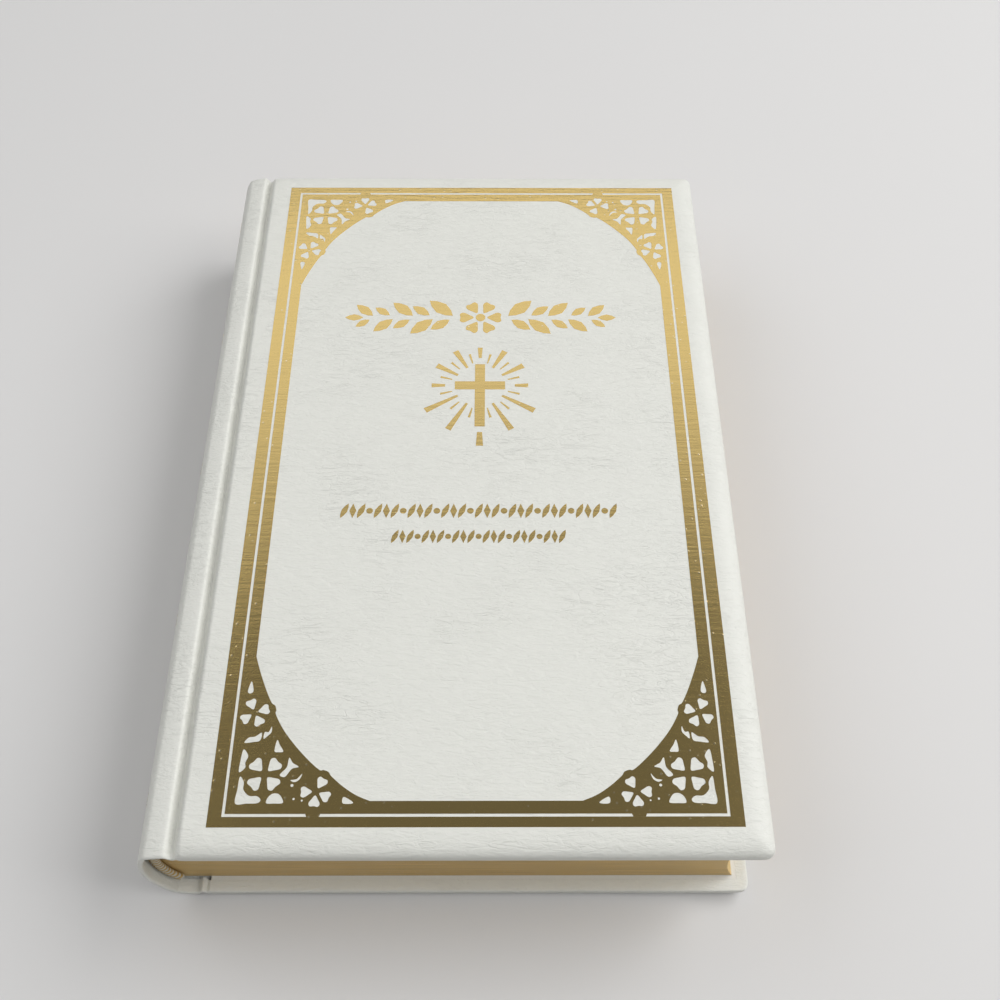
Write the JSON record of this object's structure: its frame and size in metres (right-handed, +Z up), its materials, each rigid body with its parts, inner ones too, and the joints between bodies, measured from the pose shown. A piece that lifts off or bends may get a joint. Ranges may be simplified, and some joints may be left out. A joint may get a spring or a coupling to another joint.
{
  "type": "case-bound bible",
  "caption": "Thick hardback bible with padded off-white covers, rounded spine and a gold foil frame, whose covers and page sections open.",
  "frame": {"origin": "middle of the footprint of the closed book on the surface that it lies on", "axes": "+X from the spine to the fore-edge, +Y from the tail to the head, +Z up through the closed book to the front cover"},
  "size_m": [0.1544, 0.228, 0.0411],
  "materials": {
    "leatherette": "off-white embossed leatherette, satin",
    "foam": "thin soft foam",
    "board": "grey binder's board",
    "endpaper": "smooth white endpaper",
    "pages": "thin white paper, gilt edges",
    "gold_foil": "stamped gold foil, polished",
    "mull": "open cotton mull",
    "kraft_paper": "kraft paper",
    "thread": "linen thread",
    "headband": "woven white and gold cotton band"
  },
  "bodies": {
    "back_cover": {"back_board": "board", "back_pad": "foam", "back_cover_skin": "leatherette", "back_pastedown": "endpaper", "back_endpaper_hinge": "endpaper", "back_joint_skin": "leatherette"},
    "spine": {"spine_strip": "board", "spine_skin": "leatherette", "spine_foil": "gold_foil", "spine_mull": "mull", "spine_lining": "kraft_paper", "sewing_thread": "thread", "head_band": "headband", "tail_band": "headband", "section_folds": "pages", "section_gutters": "pages"},
    "front_cover": {"front_board": "board", "front_pad": "foam", "front_cover_skin": "leatherette", "front_pastedown": "endpaper", "front_endpaper_hinge": "endpaper", "front_joint_skin": "leatherette", "cover_border_foil": "gold_foil", "cover_corner_foil": "gold_foil", "emblem_foil": "gold_foil", "title_foil": "gold_foil", "subtitle_foil": "gold_foil"},
    "back_flyleaf_leaves": {"back_flyleaf": "endpaper"},
    "section_01_leaves": {"section_01": "pages"},
    "section_02_leaves": {"section_02": "pages"},
    "section_03_leaves": {"section_03": "pages"},
    "section_04_leaves": {"section_04": "pages"},
    "section_05_leaves": {"section_05": "pages"},
    "section_06_leaves": {"section_06": "pages"},
    "section_07_leaves": {"section_07": "pages"},
    "section_08_leaves": {"section_08": "pages"},
    "section_09_leaves": {"section_09": "pages"},
    "section_10_leaves": {"section_10": "pages"},
    "section_11_leaves": {"section_11": "pages"},
    "section_12_leaves": {"section_12": "pages"},
    "section_13_leaves": {"section_13": "pages"},
    "section_14_leaves": {"section_14": "pages"},
    "section_15_leaves": {"section_15": "pages"},
    "section_16_leaves": {"section_16": "pages"},
    "section_17_leaves": {"section_17": "pages"},
    "section_18_leaves": {"section_18": "pages"},
    "section_19_leaves": {"section_19": "pages"},
    "section_20_leaves": {"section_20": "pages"},
    "section_21_leaves": {"section_21": "pages"},
    "section_22_leaves": {"section_22": "pages"},
    "section_23_leaves": {"section_23": "pages"},
    "section_24_leaves": {"section_24": "pages"},
    "front_flyleaf_leaves": {"front_flyleaf": "endpaper"}
  },
  "joints": [
    {"name": "spine_hinge", "type": "hinge", "parent": "back_cover", "child": "spine", "pos_m": [-0.06732, 0, 0.00445], "axis": [0, -1, 0], "range_deg": [0, 46], "deforming": ["back_joint_skin", "back_endpaper_hinge", "section_gutters"]},
    {"name": "front_cover_hinge", "type": "hinge", "parent": "spine", "child": "front_cover", "pos_m": [-0.06732, 0, 0.03665], "axis": [0, -1, 0], "range_deg": [0, 142], "deforming": ["front_joint_skin", "front_endpaper_hinge", "section_gutters"]},
    {"name": "back_flyleaf_turn", "type": "hinge", "parent": "spine", "child": "back_flyleaf_leaves", "pos_m": [-0.06732, 0, 0.00483], "axis": [0, -1, 0], "range_deg": [-43.01, 0], "deforming": ["section_gutters"]},
    {"name": "section_01_turn", "type": "hinge", "parent": "spine", "child": "section_01_leaves", "pos_m": [-0.06732, 0, 0.0056], "axis": [0, -1, 0], "range_deg": [-40.01, 0], "deforming": ["section_gutters"]},
    {"name": "section_02_turn", "type": "hinge", "parent": "spine", "child": "section_02_leaves", "pos_m": [-0.06732, 0, 0.0069], "axis": [0, -1, 0], "range_deg": [-33.51, 0], "deforming": ["section_gutters"]},
    {"name": "section_03_turn", "type": "hinge", "parent": "spine", "child": "section_03_leaves", "pos_m": [-0.06732, 0, 0.0082], "axis": [0, -1, 0], "range_deg": [-27.01, 0], "deforming": ["section_gutters"]},
    {"name": "section_04_turn", "type": "hinge", "parent": "spine", "child": "section_04_leaves", "pos_m": [-0.06732, 0, 0.0095], "axis": [0, -1, 0], "range_deg": [-20.01, 0], "deforming": ["section_gutters"]},
    {"name": "section_05_turn", "type": "hinge", "parent": "spine", "child": "section_05_leaves", "pos_m": [-0.06732, 0, 0.0108], "axis": [0, -1, 0], "range_deg": [-13.01, 0], "deforming": ["section_gutters"]},
    {"name": "section_06_turn", "type": "hinge", "parent": "spine", "child": "section_06_leaves", "pos_m": [-0.06732, 0, 0.0121], "axis": [0, -1, 0], "range_deg": [-6.51, 0], "deforming": ["section_gutters"]},
    {"name": "section_07_turn", "type": "hinge", "parent": "spine", "child": "section_07_leaves", "pos_m": [-0.06732, 0, 0.0134], "axis": [0, -1, 0], "range_deg": [0, 6.51], "deforming": ["section_gutters"]},
    {"name": "section_08_turn", "type": "hinge", "parent": "spine", "child": "section_08_leaves", "pos_m": [-0.06732, 0, 0.0147], "axis": [0, -1, 0], "range_deg": [0, 13.51], "deforming": ["section_gutters"]},
    {"name": "section_09_turn", "type": "hinge", "parent": "spine", "child": "section_09_leaves", "pos_m": [-0.06732, 0, 0.016], "axis": [0, -1, 0], "range_deg": [0, 20.01], "deforming": ["section_gutters"]},
    {"name": "section_10_turn", "type": "hinge", "parent": "spine", "child": "section_10_leaves", "pos_m": [-0.06732, 0, 0.0173], "axis": [0, -1, 0], "range_deg": [0, 27.01], "deforming": ["section_gutters"]},
    {"name": "section_11_turn", "type": "hinge", "parent": "spine", "child": "section_11_leaves", "pos_m": [-0.06732, 0, 0.0186], "axis": [0, -1, 0], "range_deg": [0, 34.01], "deforming": ["section_gutters"]},
    {"name": "section_12_turn", "type": "hinge", "parent": "spine", "child": "section_12_leaves", "pos_m": [-0.06732, 0, 0.0199], "axis": [0, -1, 0], "range_deg": [0, 40.51], "deforming": ["section_gutters"]},
    {"name": "section_13_turn", "type": "hinge", "parent": "spine", "child": "section_13_leaves", "pos_m": [-0.06732, 0, 0.0212], "axis": [0, -1, 0], "range_deg": [0, 47.51], "deforming": ["section_gutters"]},
    {"name": "section_14_turn", "type": "hinge", "parent": "spine", "child": "section_14_leaves", "pos_m": [-0.06732, 0, 0.0225], "axis": [0, -1, 0], "range_deg": [0, 54.51], "deforming": ["section_gutters"]},
    {"name": "section_15_turn", "type": "hinge", "parent": "spine", "child": "section_15_leaves", "pos_m": [-0.06732, 0, 0.0238], "axis": [0, -1, 0], "range_deg": [0, 61.01], "deforming": ["section_gutters"]},
    {"name": "section_16_turn", "type": "hinge", "parent": "spine", "child": "section_16_leaves", "pos_m": [-0.06732, 0, 0.0251], "axis": [0, -1, 0], "range_deg": [0, 68.01], "deforming": ["section_gutters"]},
    {"name": "section_17_turn", "type": "hinge", "parent": "spine", "child": "section_17_leaves", "pos_m": [-0.06732, 0, 0.0264], "axis": [0, -1, 0], "range_deg": [0, 75.01], "deforming": ["section_gutters"]},
    {"name": "section_18_turn", "type": "hinge", "parent": "spine", "child": "section_18_leaves", "pos_m": [-0.06732, 0, 0.0277], "axis": [0, -1, 0], "range_deg": [0, 81.51], "deforming": ["section_gutters"]},
    {"name": "section_19_turn", "type": "hinge", "parent": "spine", "child": "section_19_leaves", "pos_m": [-0.06732, 0, 0.029], "axis": [0, -1, 0], "range_deg": [0, 88.51], "deforming": ["section_gutters"]},
    {"name": "section_20_turn", "type": "hinge", "parent": "spine", "child": "section_20_leaves", "pos_m": [-0.06732, 0, 0.0303], "axis": [0, -1, 0], "range_deg": [0, 95.51], "deforming": ["section_gutters"]},
    {"name": "section_21_turn", "type": "hinge", "parent": "spine", "child": "section_21_leaves", "pos_m": [-0.06732, 0, 0.0316], "axis": [0, -1, 0], "range_deg": [0, 103.01], "deforming": ["section_gutters"]},
    {"name": "section_22_turn", "type": "hinge", "parent": "spine", "child": "section_22_leaves", "pos_m": [-0.06732, 0, 0.0329], "axis": [0, -1, 0], "range_deg": [0, 112.01], "deforming": ["section_gutters"]},
    {"name": "section_23_turn", "type": "hinge", "parent": "spine", "child": "section_23_leaves", "pos_m": [-0.06732, 0, 0.0342], "axis": [0, -1, 0], "range_deg": [0, 121.01], "deforming": ["section_gutters"]},
    {"name": "section_24_turn", "type": "hinge", "parent": "spine", "child": "section_24_leaves", "pos_m": [-0.06732, 0, 0.0355], "axis": [0, -1, 0], "range_deg": [0, 131.51], "deforming": ["section_gutters"]},
    {"name": "front_flyleaf_turn", "type": "hinge", "parent": "spine", "child": "front_flyleaf_leaves", "pos_m": [-0.06732, 0, 0.03628], "axis": [0, -1, 0], "range_deg": [0, 138.21], "deforming": ["section_gutters"]}
  ],
  "couplings": [
    {"joint": "back_flyleaf_turn", "follows": "spine_hinge", "ratio": -0.93478},
    {"joint": "section_01_turn", "follows": "spine_hinge", "ratio": -0.86957},
    {"joint": "section_02_turn", "follows": "spine_hinge", "ratio": -0.72826},
    {"joint": "section_03_turn", "follows": "spine_hinge", "ratio": -0.58696},
    {"joint": "section_04_turn", "follows": "spine_hinge", "ratio": -0.43478},
    {"joint": "section_05_turn", "follows": "spine_hinge", "ratio": -0.28261},
    {"joint": "section_06_turn", "follows": "spine_hinge", "ratio": -0.1413},
    {"joint": "section_07_turn", "follows": "front_cover_hinge", "ratio": 0.04577},
    {"joint": "section_08_turn", "follows": "front_cover_hinge", "ratio": 0.09507},
    {"joint": "section_09_turn", "follows": "front_cover_hinge", "ratio": 0.14085},
    {"joint": "section_10_turn", "follows": "front_cover_hinge", "ratio": 0.19014},
    {"joint": "section_11_turn", "follows": "front_cover_hinge", "ratio": 0.23944},
    {"joint": "section_12_turn", "follows": "front_cover_hinge", "ratio": 0.28521},
    {"joint": "section_13_turn", "follows": "front_cover_hinge", "ratio": 0.33451},
    {"joint": "section_14_turn", "follows": "front_cover_hinge", "ratio": 0.3838},
    {"joint": "section_15_turn", "follows": "front_cover_hinge", "ratio": 0.42958},
    {"joint": "section_16_turn", "follows": "front_cover_hinge", "ratio": 0.47887},
    {"joint": "section_17_turn", "follows": "front_cover_hinge", "ratio": 0.52817},
    {"joint": "section_18_turn", "follows": "front_cover_hinge", "ratio": 0.57394},
    {"joint": "section_19_turn", "follows": "front_cover_hinge", "ratio": 0.62324},
    {"joint": "section_20_turn", "follows": "front_cover_hinge", "ratio": 0.67254},
    {"joint": "section_21_turn", "follows": "front_cover_hinge", "ratio": 0.72535},
    {"joint": "section_22_turn", "follows": "front_cover_hinge", "ratio": 0.78873},
    {"joint": "section_23_turn", "follows": "front_cover_hinge", "ratio": 0.85211},
    {"joint": "section_24_turn", "follows": "front_cover_hinge", "ratio": 0.92606},
    {"joint": "front_flyleaf_turn", "follows": "front_cover_hinge", "ratio": 0.97324}
  ]
}
